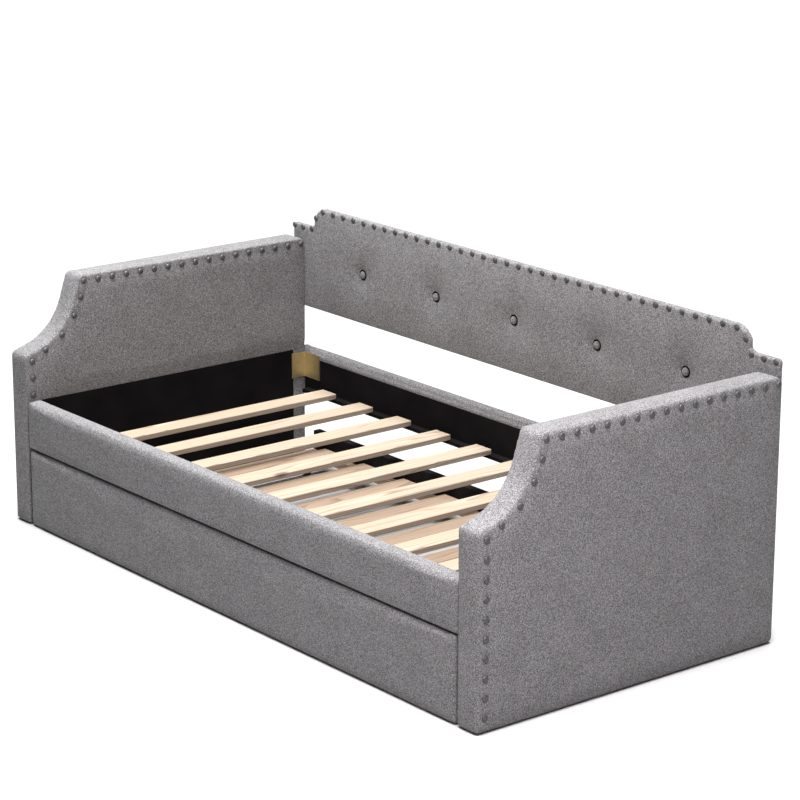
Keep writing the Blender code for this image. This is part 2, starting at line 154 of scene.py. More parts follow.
# %% A small node helper
class Nodes:
    """Adds nodes to one material: node(kind, {input: value or socket}, setting=value)."""

    def __init__(self, name):
        self.material = bpy.data.materials.new(name)
        self.material.use_nodes = True
        self.tree = self.material.node_tree
        self.shader = self.tree.nodes["Principled BSDF"]

    def feed(self, node, inputs):
        for key, value in inputs.items():
            socket = node.inputs[key]
            if isinstance(value, bpy.types.NodeSocket):
                self.tree.links.new(value, socket)
            else:
                socket.default_value = value

    def node(self, kind, inputs=None, **settings):
        node = self.tree.nodes.new("ShaderNode" + kind)
        for key, value in settings.items():
            setattr(node, key, value)
        self.feed(node, inputs or {})
        return node

    def math(self, operation, a, b=0.0, clamp=False):
        made = self.node("Math", {0: a, 1: b}, operation=operation, use_clamp=clamp)
        return made.outputs[0]

    def noise(self, vector, scale, detail=2.0, roughness=0.5):
        made = self.node("TexNoise", {"Vector": vector, "Scale": scale, "Detail": detail,
                                      "Roughness": roughness})
        return made.outputs["Fac"]

    def stretched(self, vector, scale):
        return self.node("Mapping", {"Vector": vector, "Scale": scale}).outputs["Vector"]

    def ramp(self, value, stops):
        ramp = self.node("ValToRGB", {"Fac": value})
        while len(ramp.color_ramp.elements) < len(stops):
            ramp.color_ramp.elements.new(0.5)
        for element, (place, colour) in zip(ramp.color_ramp.elements, stops):
            element.position = place
            element.color = (*colour, 1)
        return ramp.outputs["Color"]

    def mix(self, factor, a, b, blend="MIX"):
        made = self.node("Mix", {"Factor": factor, "A": a, "B": b}, data_type="RGBA",
                         blend_type=blend)
        return made.outputs["Result"]

    def bump(self, height, strength, distance, normal=None):
        inputs = {"Height": height, "Strength": strength, "Distance": distance}
        if normal is not None:
            inputs["Normal"] = normal
        return self.node("Bump", inputs).outputs["Normal"]


print("node helper ready")

# %% [markdown]
# The cloth is a heathered linen-look polyester: its yarn is spun from light and dark
# fibres, so each place where two threads cross has a shade of its own, and close up the
# cloth is salt and pepper. A picture of cloth would be the quick way. Here the crossings
# are the cells of a grid on each piece's own UV map, which is laid out in metres. White
# noise picks each cell's shade, waves across it round the threads, and slower noises give
# the flecks that run along the warp and the faint clouds of a worn bolt. The same waves
# also darken the grooves between the threads in the colour: painted shade.

# %% Grey linen
THREAD = 0.0019


def grey_linen():
    n = Nodes("grey_linen")
    uv = n.node("UVMap", uv_map="cloth").outputs["UV"]
    wander = n.node("TexNoise", {"Vector": uv, "Scale": 60.0, "Detail": 1.0})
    shift = n.node("VectorMath", {0: wander.outputs["Color"], "Scale": 0.0040},
                   operation="SCALE")
    loose = n.node("VectorMath", {0: uv, 1: shift.outputs["Vector"]}, operation="ADD")
    grid = n.stretched(loose.outputs["Vector"], (1 / THREAD, 1 / THREAD, 1))
    parts = n.node("SeparateXYZ", {"Vector": grid})
    cell = n.node("VectorMath", {0: grid}, operation="FLOOR").outputs["Vector"]
    shade = n.node("TexWhiteNoise", {"Vector": cell}, noise_dimensions="2D").outputs["Value"]
    warp = n.math("ABSOLUTE", n.math("SINE", n.math("MULTIPLY", parts.outputs["X"], math.pi)))
    weft = n.math("ABSOLUTE", n.math("SINE", n.math("MULTIPLY", parts.outputs["Y"], math.pi)))
    over = n.math("PINGPONG", n.math("ADD", n.math("FLOOR", parts.outputs["X"]),
                                     n.math("FLOOR", parts.outputs["Y"])), 1.0)
    weave = n.math("ADD", n.math("MULTIPLY", warp, over),
                   n.math("MULTIPLY", weft, n.math("SUBTRACT", 1.0, over)))

    pepper = n.noise(n.stretched(uv, (600, 480, 1)), 1.0, 2.0, 0.7)
    fleck = n.noise(n.stretched(uv, (520, 110, 1)), 1.0, 2.0, 0.6)
    heather = n.math("ADD", n.math("MULTIPLY", shade, 0.26),
                     n.math("ADD", n.math("MULTIPLY", pepper, 0.64),
                            n.math("MULTIPLY", fleck, 0.10)))
    tone = n.ramp(heather, [(0.28, (0.034, 0.034, 0.034)), (0.44, (0.093, 0.092, 0.093)),
                            (0.56, (0.172, 0.170, 0.172)), (0.72, (0.330, 0.327, 0.330))])
    tint = n.mix(n.noise(uv, 21, 2.0), (0.97, 1.015, 0.995, 1), (1.03, 0.975, 1.01, 1))
    cloud = n.mix(1.0, n.ramp(n.noise(uv, 9, 3.0, 0.55), [(0.3, (0.92, 0.92, 0.92)),
                                                         (0.7, (1.06, 1.06, 1.06))]),
                  tint, "MULTIPLY")
    # Painted shade: the colour is darker in the grooves between threads, where the weave wave is
    # low.
    rounded = n.ramp(weave, [(0.0, (0.76, 0.76, 0.76)), (0.7, (1.08, 1.08, 1.08))])
    colour = n.mix(1.0, n.mix(1.0, tone, cloud, "MULTIPLY"), rounded, "MULTIPLY")
    slub = n.math("ADD", weave, n.math("MULTIPLY", heather, 1.6))
    n.feed(n.shader, {"Base Color": colour, "Roughness": 0.95, "Sheen Weight": 0.06,
                      "Sheen Roughness": 0.5, "Specular IOR Level": 0.12,
                      "Normal": n.bump(slub, 0.35, 0.0006)})
    print("linen: a thread every", THREAD * 1000, "mm")
    return n.material


LINEN = grey_linen()

# %% [markdown]
# Dust cloth is the thin black non-woven cloth that closes an upholsterer's work where
# nobody should look. It is pressed from fibres, with no threads at all, so a fine noise and
# a dotted pattern of weld points are enough.

# %% Black dust cloth and black board
def black_cloth():
    n = Nodes("black_dust_cloth")
    place = n.node("TexCoord").outputs["Object"]
    dots = n.node("TexVoronoi", {"Vector": place, "Scale": 520, "Randomness": 0.25})
    fibres = n.noise(place, 900, 2.0)
    slack = n.noise(place, 16, 2.0)
    tone = n.ramp(n.noise(place, 9, 2.0), [(0.3, (0.0034, 0.0029, 0.0031)),
                                           (0.7, (0.0064, 0.0055, 0.0059))])
    height = n.math("ADD", dots.outputs["Distance"], n.math("MULTIPLY", fibres, 0.5))
    soft = n.bump(slack, 0.5, 0.004)
    n.feed(n.shader, {"Base Color": tone, "Roughness": 0.92, "Specular IOR Level": 0.06,
                      "Normal": n.bump(height, 0.35, 0.0004, soft)})
    return n.material


def black_board():
    n = Nodes("black_board")
    place = n.node("TexCoord").outputs["Object"]
    grain = n.noise(n.stretched(place, (6, 240, 240)), 1.0, 3.0)
    wear = n.noise(place, 30, 3.0)
    tone = n.ramp(wear, [(0.35, (0.0040, 0.0036, 0.0038)), (0.75, (0.0095, 0.0088, 0.0088))])
    rough = n.ramp(grain, [(0.3, (0.66, 0.66, 0.66)), (0.7, (0.80, 0.80, 0.80))])
    n.feed(n.shader, {"Base Color": tone, "Roughness": rough, "Specular IOR Level": 0.08,
                      "Normal": n.bump(grain, 0.18, 0.0005)})
    return n.material


DUST_CLOTH = black_cloth()
BLACK_BOARD = black_board()
print("black finishes:", DUST_CLOTH.name, BLACK_BOARD.name)

# %% [markdown]
# A sawn pine board shows the tree's rings as long, nearly straight lines with a slow
# wander, and closed curves where the saw met a bend. Rings are shells about the trunk's
# axis, so the wave runs on the distance from a line far off to one side of the board, bent
# by a stretched noise. Each board has its own place in the pattern, because a slat's place
# in the bed moves it through the tree.

# %% Pine
def pine(name, along, light, dark):
    """Pine whose grain runs along X (0) or Y (1)."""
    n = Nodes(name)
    place = n.node("TexCoord").outputs["Object"]
    slow = (0.9, 9.0, 9.0) if along == 0 else (9.0, 0.9, 9.0)
    fine = (14.0, 900.0, 900.0) if along == 0 else (900.0, 14.0, 900.0)
    bend = n.noise(n.stretched(place, slow), 1.0, 2.0, 0.45)
    parts = n.node("SeparateXYZ", {"Vector": place})
    side = parts.outputs["Y"] if along == 0 else parts.outputs["X"]
    depth = n.math("ADD", side, n.math("MULTIPLY", parts.outputs["Z"], 2.3))
    rings = n.math("FRACT", n.math("ADD", n.math("MULTIPLY", depth, 62.0),
                                   n.math("MULTIPLY", bend, 15.0)))
    fibre = n.noise(n.stretched(place, fine), 1.0, 2.0)
    late = n.ramp(rings, [(0.0, (0, 0, 0)), (0.62, (0.25, 0.25, 0.25)),
                          (0.93, (1, 1, 1)), (1.0, (0.1, 0.1, 0.1))])
    board = n.noise(n.stretched(place, (4.5, 0.3, 1) if along else (0.3, 4.5, 1)), 1.0, 1.0)
    warm = n.mix(board, light, tuple(v * f for v, f in zip(light, (0.90, 0.81, 0.73, 1))))
    ringed = n.mix(n.math("MULTIPLY", late, 0.72), warm, dark)
    knots = n.node("TexVoronoi", {"Vector": n.stretched(place, (7.0, 2.2, 7.0) if along
                                                        else (2.2, 7.0, 7.0)), "Scale": 1.0})
    knot = n.ramp(knots.outputs["Distance"], [(0.035, (1, 1, 1)), (0.075, (0, 0, 0))])
    brown = (dark[0] * 0.42, dark[1] * 0.32, dark[2] * 0.25, 1)
    colour = n.mix(n.math("MULTIPLY", knot, 0.75), ringed, brown)
    fibred = n.ramp(fibre, [(0.25, (0.90, 0.89, 0.87)), (0.75, (1.05, 1.05, 1.05))])
    height = n.math("ADD", n.math("MULTIPLY", late, 0.5), fibre)
    n.feed(n.shader, {"Base Color": n.mix(1.0, colour, fibred, "MULTIPLY"),
                      "Roughness": n.ramp(late, [(0, (0.58,) * 3), (1, (0.46,) * 3)]),
                      "Specular IOR Level": 0.35, "Normal": n.bump(height, 0.22, 0.0004)})
    return n.material


SLAT_PINE = pine("pine_slats", 1, (0.325, 0.285, 0.230, 1), (0.150, 0.098, 0.064, 1))
# The trundle's slats and rails are the same pine painted darker: painted shade for the shadow
# that the bed's slats above cast on them.
TRUNDLE_PINE_PAINTED_SHADE = pine("pine_trundle_painted_shade", 1, (0.235, 0.182, 0.138, 1), (0.120, 0.076, 0.050, 1))
RAIL_PINE = pine("pine_rails", 0, (0.25, 0.20, 0.15, 1), (0.18, 0.12, 0.08, 1))
print("pine along Y:", SLAT_PINE.name, "and along X:", RAIL_PINE.name)

# %% [markdown]
# Plated steel is never one colour: yellow zinc shifts from straw to rose, and bright zinc
# shows a faint crystal spangle. The nailheads are steel blackened to pewter, worn paler on
# the crown. One function makes all three from two colours and a roughness.

# %% Plated metals, nylon and raw board
def plated(name, light, dark, rough, patch=45.0):
    n = Nodes(name)
    place = n.node("TexCoord").outputs["Object"]
    blotch = n.noise(place, patch, 4.0, 0.6)
    scratch = n.noise(n.stretched(place, (900, 60, 60)), 1.0, 2.0)
    tone = n.ramp(blotch, [(0.32, dark), (0.66, light)])
    worn = n.ramp(blotch, [(0.3, (rough * 1.25,) * 3), (0.7, (rough * 0.85,) * 3)])
    n.feed(n.shader, {"Base Color": tone, "Metallic": 1.0, "Roughness": worn,
                      "Normal": n.bump(scratch, 0.10, 0.0003)})
    return n.material


def nylon():
    n = Nodes("black_nylon")
    place = n.node("TexCoord").outputs["Object"]
    grain = n.noise(place, 1400, 2.0)
    dust = n.noise(place, 60, 4.0)
    tone = n.ramp(dust, [(0.4, (0.014, 0.014, 0.015)), (0.8, (0.040, 0.039, 0.038))])
    n.feed(n.shader, {"Base Color": tone, "Roughness": 0.48,
                      "Normal": n.bump(grain, 0.25, 0.0002)})
    return n.material


YELLOW_ZINC = plated("yellow_zinc", (0.70, 0.605, 0.375), (0.56, 0.47, 0.26), 0.42, 28.0)
BRIGHT_ZINC = plated("bright_zinc", (0.62, 0.63, 0.65), (0.42, 0.43, 0.45), 0.34, 90.0)
PEWTER = plated("pewter", (0.150, 0.148, 0.147), (0.070, 0.068, 0.068), 0.64, 260.0)
NYLON = nylon()
RAW_BOARD = pine("raw_board", 0, (0.60, 0.45, 0.29, 1), (0.45, 0.29, 0.16, 1))
print("metals:", YELLOW_ZINC.name, BRIGHT_ZINC.name, PEWTER.name)

# %% Finish the frame's own parts
BLACK_CLOTHED = ("front_ledge", "back_ledge", "back_panel_board")


def finish_nodes():
    """The frame's parts that keep their own shape take their finish here."""
    for name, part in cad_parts.items():
        if name.endswith("_lining") or name in BLACK_CLOTHED:
            finish = DUST_CLOTH
        elif name.endswith("_frame"):
            finish = RAW_BOARD
        elif name == "trundle_back_board":
            finish = BLACK_BOARD
        elif name.endswith("_ledge"):
            finish = RAIL_PINE
        # The trundle's pine is darker as painted shade, not as another timber.
        elif name.startswith("trundle") and ("slat" in name or name.endswith("_rail")):
            finish = TRUNDLE_PINE_PAINTED_SHADE
        elif name.startswith("slat"):
            finish = SLAT_PINE
        elif name.endswith("_bracket"):
            finish = YELLOW_ZINC
        elif name.endswith("_fork"):
            finish = BRIGHT_ZINC
        elif name.endswith(("_wheel", "_glide")):
            finish = NYLON
        else:
            continue
        part.data.materials.clear()
        part.data.materials.append(finish)
    print("finished", len(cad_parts), "parts of the frame")


finish_nodes()

# %% [markdown]
# ## Outlines
#
# An arm is a flat shape with thickness, so it starts as an outline. Each corner of the
# outline is a point with a rounding radius, and one function swaps the corner for an arc.
# The scoop is nothing but a corner with a large radius. A bmesh bevel on the vertices would
# round them too, but all by one radius.

# %% Rounded outlines
def rounded_outline(corners, step=math.radians(9)):
    """Corners (u, v, radius) of a closed outline, each swapped for an arc."""
    outline = []
    for index, (u, v, radius) in enumerate(corners):
        corner = Vector((u, v))
        if radius <= 0:
            outline.append(corner)
            continue
        before = (Vector(corners[index - 1][:2]) - corner).normalized()
        after = (Vector(corners[(index + 1) % len(corners)][:2]) - corner).normalized()
        opening = before.angle(after)
        centre = corner + (before + after).normalized() * radius / math.sin(opening / 2)
        start = corner + before * radius / math.tan(opening / 2) - centre
        turn = math.pi - opening
        if before.cross(after) > 0:
            turn = -turn
        count = max(2, round(abs(turn) / step))
        for i in range(count + 1):
            outline.append(centre + Matrix.Rotation(turn * i / count, 2) @ start)
    return outline


def moved_in(corners, distance):
    """The corners of a clockwise outline moved inwards, as a tailor marks a seam."""
    moved = []
    for index, (u, v, radius) in enumerate(corners):
        corner = Vector((u, v))
        came = (corner - Vector(corners[index - 1][:2])).normalized()
        goes = (Vector(corners[(index + 1) % len(corners)][:2]) - corner).normalized()
        inward = Vector((came.y + goes.y, -came.x - goes.x))
        shift = inward * distance / (1 + came.dot(goes))
        change = -distance if came.cross(goes) < 0 else distance
        moved.append((*(corner + shift), max(radius + change, 0.0)))
    return moved


arm_low, arm_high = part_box("right_arm_cover")
SCOOP_START, SCOOP_DEPTH = 0.530, 0.193
SCOOP_CORNER, SCOOP_RADIUS = (0.1356, 0.5715), 0.190


def arm_corners(foot=0.004):
    """An arm from the side: (y, height, rounding), clockwise from the front's foot."""
    front, rear = arm_low.y, arm_high.y
    return [
        (front, foot, 0.010),
        (front, SCOOP_START, 0.016),
        (front + SCOOP_CORNER[0], SCOOP_CORNER[1], SCOOP_RADIUS),
        (front + SCOOP_DEPTH, arm_high.z, 0.016),
        (rear, arm_high.z, 0.027),
        (rear, foot, 0.014),
    ]


print("arm outline:", len(rounded_outline(arm_corners())), "points")

# %% [markdown]
# ## Nailheads
#
# Decorative nails run 20 mm in from the arms' edges at about two inches apart. They hold
# the cloth down, so their places are needed before the cloth is made. The front column and
# the top are spaced with a rule: a nail at each end, and the rest shared out between. Round
# the scoop the nails are listed one by one, closer together where the curve is tightest.

# %% Where the nails go
NAIL_MARGIN = 0.0205
NAIL_PITCH = 0.0511
FIRST_NAIL = 0.043              # the lowest nail's height
COLUMN_GAPS = 9
LAST_NAIL_INSET = 0.0145
SCOOP_NAILS = [(0.0215, 0.508), (0.0687, 0.536), (0.1278, 0.573), (0.1723, 0.626),
               (0.1973, 0.680), (0.2093, 0.728)]


def spaced_along(route, count):
    """count + 1 points at even distances along a route, both ends included."""
    lengths = [0.0]
    for a, b in zip(route, route[1:]):
        lengths.append(lengths[-1] + (b - a).length)
    points = []
    for i in range(count + 1):
        want = lengths[-1] * i / count
        k = max(j for j in range(len(route) - 1) if lengths[j] <= want + 1e-9)
        part = (want - lengths[k]) / max(lengths[k + 1] - lengths[k], 1e-9)
        points.append(route[k].lerp(route[k + 1], min(part, 1.0)))
    return points


def arm_nail_points():
    """(y, z) of the nails on one face of an arm, from the floor up, round and back."""
    seam = moved_in(arm_corners(), NAIL_MARGIN)
    scoop = [Vector((arm_low.y + depth, z)) for depth, z in SCOOP_NAILS]
    column = spaced_along([Vector((scoop[0].x, FIRST_NAIL)), scoop[0]], COLUMN_GAPS)
    end = Vector((arm_high.y - LAST_NAIL_INSET, seam[4][1]))
    top = spaced_along([scoop[-1], end], round((end.x - scoop[-1].x) / NAIL_PITCH))
    return column[:-1] + scoop[:-1] + top


ARM_NAILS = arm_nail_points()
print("nails on an arm's outer face:", len(ARM_NAILS))

# %% [markdown]
# The back panel's nails stand 10 mm from its edge: one row along the raised middle, and
# four at each end that step down over the shoulder.

# %% Nails of the back panel
panel_low, panel_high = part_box("back_panel_cover")
PANEL_STEP, PANEL_SHOULDER = 0.958, 0.788
TOP_ROW_END, TOP_ROW_COUNT = 0.9085, 36
NAIL_DROP = 0.0100
END_NAILS = [(0.9440, 0.8190), (0.9665, 0.7815), (1.0120, 0.7790), (1.0560, 0.7790)]


def panel_nail_points():
    row = [Vector((TOP_ROW_END * (2 * i / (TOP_ROW_COUNT - 1) - 1), panel_high.z - NAIL_DROP))
           for i in range(TOP_ROW_COUNT)]
    ends = [Vector((sign * x, z)) for sign in (-1, 1) for x, z in END_NAILS]
    return row + ends


PANEL_NAILS = panel_nail_points()
print("nails on the back panel:", len(PANEL_NAILS))

# %% [markdown]
# ## Padding by simulation
#
# Wadding under cloth swells wherever nothing holds it, and is pinched where a nail or a
# button goes through. Moving vertices by hand can fake one dimple, but the way that
# dimples and edges pull on each other is what a cloth simulation works out. Each board is
# remeshed evenly, so that the cloth has no favoured direction, then a little air pressure
# fills it for twenty frames while the nailed points stay put. So do the edges, where the
# cloth is drawn tight over the corner of the board inside. A cap on how far a point may
# travel stands for the stiff foam below.

# %% From an outline to a solid
def push_out(outline, axis, low, high, round_low, round_high):
    """A bmesh of the outline pushed along X or Y, with rounded rims."""
    shape = bmesh.new()
    if axis == "X":
        first = [shape.verts.new((low, p.x, p.y)) for p in outline]
    else:
        first = [shape.verts.new((p.x, low, p.y)) for p in outline]
    low_cap = shape.faces.new(first)
    out = bmesh.ops.extrude_face_region(shape, geom=[low_cap], use_keep_orig=True)
    far = [g for g in out["geom"] if isinstance(g, bmesh.types.BMVert)]
    high_cap = [g for g in out["geom"] if isinstance(g, bmesh.types.BMFace)][0]
    travel = (high - low, 0, 0) if axis == "X" else (0, high - low, 0)
    bmesh.ops.translate(shape, verts=far, vec=travel)
    bmesh.ops.recalc_face_normals(shape, faces=shape.faces[:])
    for cap, radius in ((low_cap, round_low), (high_cap, round_high)):
        if radius > 0:
            bmesh.ops.bevel(shape, geom=cap.edges[:], offset=radius, affect="EDGES",
                            segments=4, profile=0.5, material=-1)
    return shape


def object_from(shape, name, *materials):
    mesh = bpy.data.meshes.new(name)
    shape.to_mesh(mesh)
    shape.free()
    for material in materials:
        mesh.materials.append(material)
    made = bpy.data.objects.new(name, mesh)
    bpy.context.scene.collection.objects.link(made)
    return made


print("solids can be pushed out of outlines")

# %% Baking modifiers into a mesh
def bake_modifiers(piece):
    """Swaps the piece's mesh for what its modifiers make of it."""
    graph = bpy.context.evaluated_depsgraph_get()
    baked = bpy.data.meshes.new_from_object(piece.evaluated_get(graph))
    piece.modifiers.clear()
    old = piece.data
    piece.data = baked
    bpy.data.meshes.remove(old)


def even_mesh(piece, voxel):
    remesh = piece.modifiers.new("even", "REMESH")
    remesh.mode = "VOXEL"
    remesh.voxel_size = voxel
    remesh.use_smooth_shade = True
    bake_modifiers(piece)


print("voxel remesh ready")

# %% Making cloth of a mesh
CLOTH_FRAMES = 20
to_fill = []


def prepare_cloth(piece, held, cap, pressure=4.0):
    """Makes cloth of a closed mesh. held(vertex) says which vertices are nailed down."""
    group = piece.vertex_groups.new(name="held")
    group.add([v.index for v in piece.data.vertices if held(v)], 1.0, "REPLACE")
    cloth = piece.modifiers.new("cloth", "CLOTH")
    settings = cloth.settings
    settings.quality = 3
    settings.mass = 0.3
    settings.tension_stiffness = 15
    settings.compression_stiffness = 10
    settings.shear_stiffness = 6
    settings.bending_stiffness = 0.5
    settings.use_pressure = True
    settings.uniform_pressure_force = pressure
    settings.vertex_group_mass = "held"
    settings.effector_weights.gravity = 0.0
    cloth.collision_settings.use_collision = False
    cloth.point_cache.frame_start = 1
    cloth.point_cache.frame_end = CLOTH_FRAMES
    to_fill.append((piece, cap))


print("cloth runs for", CLOTH_FRAMES, "frames")


# %% Filling every cloth at once
def fill_all():
    """Runs every prepared cloth at once, as the solver works on them side by side."""
    begun = [[v.co.copy() for v in piece.data.vertices] for piece, cap in to_fill]
    for moment in range(1, CLOTH_FRAMES + 1):
        bpy.context.scene.frame_set(moment)
    for (piece, cap), start in zip(to_fill, begun):
        bake_modifiers(piece)
        piece.vertex_groups.clear()
        furthest = 0.0
        for vertex, begin in zip(piece.data.vertices, start):
            travel = vertex.co - begin
            furthest = max(furthest, travel.length)
            if travel.length > cap:
                vertex.co = begin + travel.normalized() * cap
        print(piece.name, "swelled", round(furthest * 1000, 1), "mm, kept to", cap * 1000)
    bpy.context.scene.frame_set(1)


print("filling steps the clock from 1 to", CLOTH_FRAMES)

# %% [markdown]
# After the simulation the mesh gets one level of subdivision, and the dents that are
# narrower than the remesh could hold: the small cup that each nail's head presses into the
# wadding. The cloth's UV map is laid on last, square to the nearest axis in each
# face, with V running up the piece, because the cloth is cut with its warp upright.

# %% The last subdivision, and dents
def subdivide(piece):
    finer = piece.modifiers.new("finer", "SUBSURF")
    finer.levels = finer.render_levels = 1
    bake_modifiers(piece)


def cell_of(point, size):
    return tuple(int(c // size) for c in point)


def around(cells, point, size):
    """What the cells hold in the cell of a point and in the 26 about it."""
    x, y, z = cell_of(point, size)
    for dx, dy, dz in itertools.product((-1, 0, 1), repeat=3):
        yield from cells.get((x + dx, y + dy, z + dz), ())


def press_dents(piece, places, inward, depth, radius):
    """Pushes the surface in round each place (a point on the face), by a smooth bell."""
    inward = Vector(inward)
    cells = {}
    for vertex in piece.data.vertices:
        cells.setdefault(cell_of(vertex.co, radius), []).append(vertex)
    for place in places:
        for vertex in around(cells, place, radius):
            away = vertex.co - place
            away -= inward * away.dot(inward)
            r = away.length / radius
            if r < 1:
                vertex.co += inward * depth * (1 - r * r) ** 2


print("dents are pressed in by a smooth bell")


# %% The cloth's UV map
def lay_cloth_uv(mesh):
    """A UV map in metres, square to whichever axis each face looks along."""
    layer = mesh.uv_layers.new(name="cloth")
    for face in mesh.polygons:
        x, y, z = (abs(c) for c in face.normal)
        for loop in face.loop_indices:
            co = mesh.vertices[mesh.loops[loop].vertex_index].co
            if x >= y and x >= z:
                layer.data[loop].uv = (co.y, co.z)
            elif y >= z:
                layer.data[loop].uv = (co.x, co.z)
            else:
                layer.data[loop].uv = (co.x, co.y)


print("cloth maps are in metres, so a thread is", THREAD, "wide on them")


# %% Dressing a padded piece
def dress(piece, body, fill, *nodes):
    """Last steps of a padded piece: its cloth, its body, and the CAD parts it replaces."""
    mesh = piece.data
    mesh.materials.clear()
    mesh.materials.append(LINEN)
    mesh.shade_smooth()
    lay_cloth_uv(mesh)
    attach(piece, body)
    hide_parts(*nodes)
    print(piece.name, "has", len(mesh.polygons), "faces")


print("dressing helpers ready")

# %% [markdown]
# ## The arms
#
# The right arm is made once and mirrored for the left, as the two are cut from one pattern.
# The nails on both faces hold the cloth, and so does the staple line along the floor. On
# the inner face the black dust cloth is stapled over it, which keeps it flat there.

# %% Where the arm's cloth is held
FULLNESS = 0.0055
REAR_FULLNESS = 0.0030
ARM_EDGE, ARM_INNER_EDGE = 0.010, 0.006
INNER_FULLNESS = 0.0030
ARM_SWELL = 0.0028              # the furthest that the filling moves the cloth
NAIL_GRIP = 0.011               # a nail holds the cloth this far about it
FOOT_STAPLES = 0.014            # the cloth is stapled up to this height
FACE_DEPTH = 0.004              # a vertex this near a face counts as on it
ARM_DEEP = 0.030                # inner fullness fades out this far into the arm
RAIL_GAP, RAIL_FADE = 0.004, 0.030
VOXEL = 0.0080
inner_x, outer_x = arm_low.x, arm_high.x + FULLNESS
RAIL_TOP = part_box("front_rail")[1].z


def arm_nail_places(x, lowest=0.0):
    return [Vector((x, p.x, p.y)) for p in ARM_NAILS if p.y > lowest]


OUTER_NAILS = arm_nail_places(outer_x)
INNER_NAILS = arm_nail_places(inner_x - INNER_FULLNESS, RAIL_TOP + RAIL_GAP)


def near_any(places, reach):
    """A test for a point closer than reach to any of the places, fast for many places."""
    cells = {}
    for place in places:
        cells.setdefault(cell_of(place, reach), []).append(place)

    def test(point):
        return any((point - place).length < reach for place in around(cells, point, reach))

    return test


def on_a_rim(vertex, side):
    """True where the cloth turns over an edge: its normal leans away from every face."""
    return 0.3 < abs(vertex.normal[side]) < 0.95


print("nails that hold an arm's cloth:", len(OUTER_NAILS), "outside,", len(INNER_NAILS), "inside")


# %% The right arm
def above_the_rails(z):
    """From 0 at the rails' top to 1 a little above it, with soft ends."""
    t = min(max((z - RAIL_TOP - RAIL_GAP) / RAIL_FADE, 0.0), 1.0)
    return t * t * (3 - 2 * t)


def start_arm():
    corners = arm_corners(0.0015)
    front, rear = arm_low.y, arm_high.y
    corners[:2] = [(front - FULLNESS, z, r) for y, z, r in corners[:2]]
    corners[4:] = [(rear + REAR_FULLNESS, z, r) for y, z, r in corners[4:]]
    shape = push_out(rounded_outline(corners), "X", inner_x + 0.0008, outer_x,
                     ARM_INNER_EDGE, ARM_EDGE)
    arm = object_from(shape, "right_arm_padding")
    even_mesh(arm, VOXEL)
    for vertex in arm.data.vertices:
        share = max(1 - (vertex.co.x - inner_x) / ARM_DEEP, 0.0)
        vertex.co.x -= INNER_FULLNESS * share * above_the_rails(vertex.co.z)
    nailed = near_any(OUTER_NAILS + INNER_NAILS, NAIL_GRIP)
    dust_cloth_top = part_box("right_arm_lining")[1].z

    def held(vertex):
        if vertex.co.z < FOOT_STAPLES or on_a_rim(vertex, 0) or nailed(vertex.co):
            return True
        return vertex.co.x < inner_x + FACE_DEPTH and vertex.co.z < dust_cloth_top

    prepare_cloth(arm, held, ARM_SWELL)
    return arm


right_arm = start_arm()
print("arm:", len(right_arm.data.vertices), "vertices before filling")

# %% [markdown]
# ## The back panel
#
# The panel is thin, with a deep enough layer of wadding in front to tuft. Five buttons are
# pulled through to the board behind. The cloth starts as a funnel round each button, with
# the shallow pleats that gather there, and is held where the button sits. The simulation
# fills the rest. Behind the arms the panel is clamped flat.

# %% Tufting
TUFT_DEPTH = 0.0115
TUFT_FLOOR = 0.0120             # the flat bottom that the button sits in
TUFT_REACH = 0.046              # from the floor's rim to where the face is level again
TUFT_STEEPNESS = 1.8
TUFT_GRIP = 0.0210              # a button holds the cloth this far about it
PLEATS, PLEAT_HEIGHT = 7, 0.0008
buttons = [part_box(f"tuft_button_{i}") for i in range(1, 6)]
BUTTONS = [Vector(((a.x + b.x) / 2, panel_low.y, (a.z + b.z) / 2)) for a, b in buttons]


def tuft(x, z):
    """How far a button pulls the cloth in at a place on the panel's face."""
    pull = 0.0
    for number, button in enumerate(BUTTONS):
        away = math.hypot(x - button.x, z - button.z)
        r = max(away - TUFT_FLOOR, 0.0) / TUFT_REACH
        if r < 1:
            pleat = math.cos(PLEATS * math.atan2(z - button.z, x - button.x) + number)
            pull += (TUFT_DEPTH * (1 - r) ** TUFT_STEEPNESS
                     + PLEAT_HEIGHT * pleat * math.sin(math.pi * r))
    return pull


print("tufts", round(tuft(BUTTONS[0].x, BUTTONS[0].z) * 1000, 1), "mm deep:", len(BUTTONS))

# %% Back panel
PANEL_FRONT_NAILS = [Vector((p.x, panel_low.y, p.y)) for p in PANEL_NAILS]
PANEL_SWELL = 0.0060
PANEL_PRESSURE = 7.0
PANEL_VOXEL, QUICK_PANEL_VOXEL = 0.0070, 0.010
PANEL_FRONT_EDGE, PANEL_REAR_EDGE = 0.0060, 0.002
PANEL_NAIL_GRIP = 0.010
WADDING_DEPTH = 0.013           # behind this the cloth lies on the board
PANEL_FOLD = 0.010              # the stapled fold along the lower edge
ARM_CLAMP = 0.006               # the panel is flat from this far before an arm's face


def panel_corners():
    half = [
        (panel_high.x, panel_low.z, 0.010),
        (panel_high.x, PANEL_SHOULDER, 0.011),
        (PANEL_STEP, PANEL_SHOULDER, 0.012),
        (PANEL_STEP, panel_high.z, 0.055),
    ]
    return [(-x, z, r) for x, z, r in half] + half[::-1]


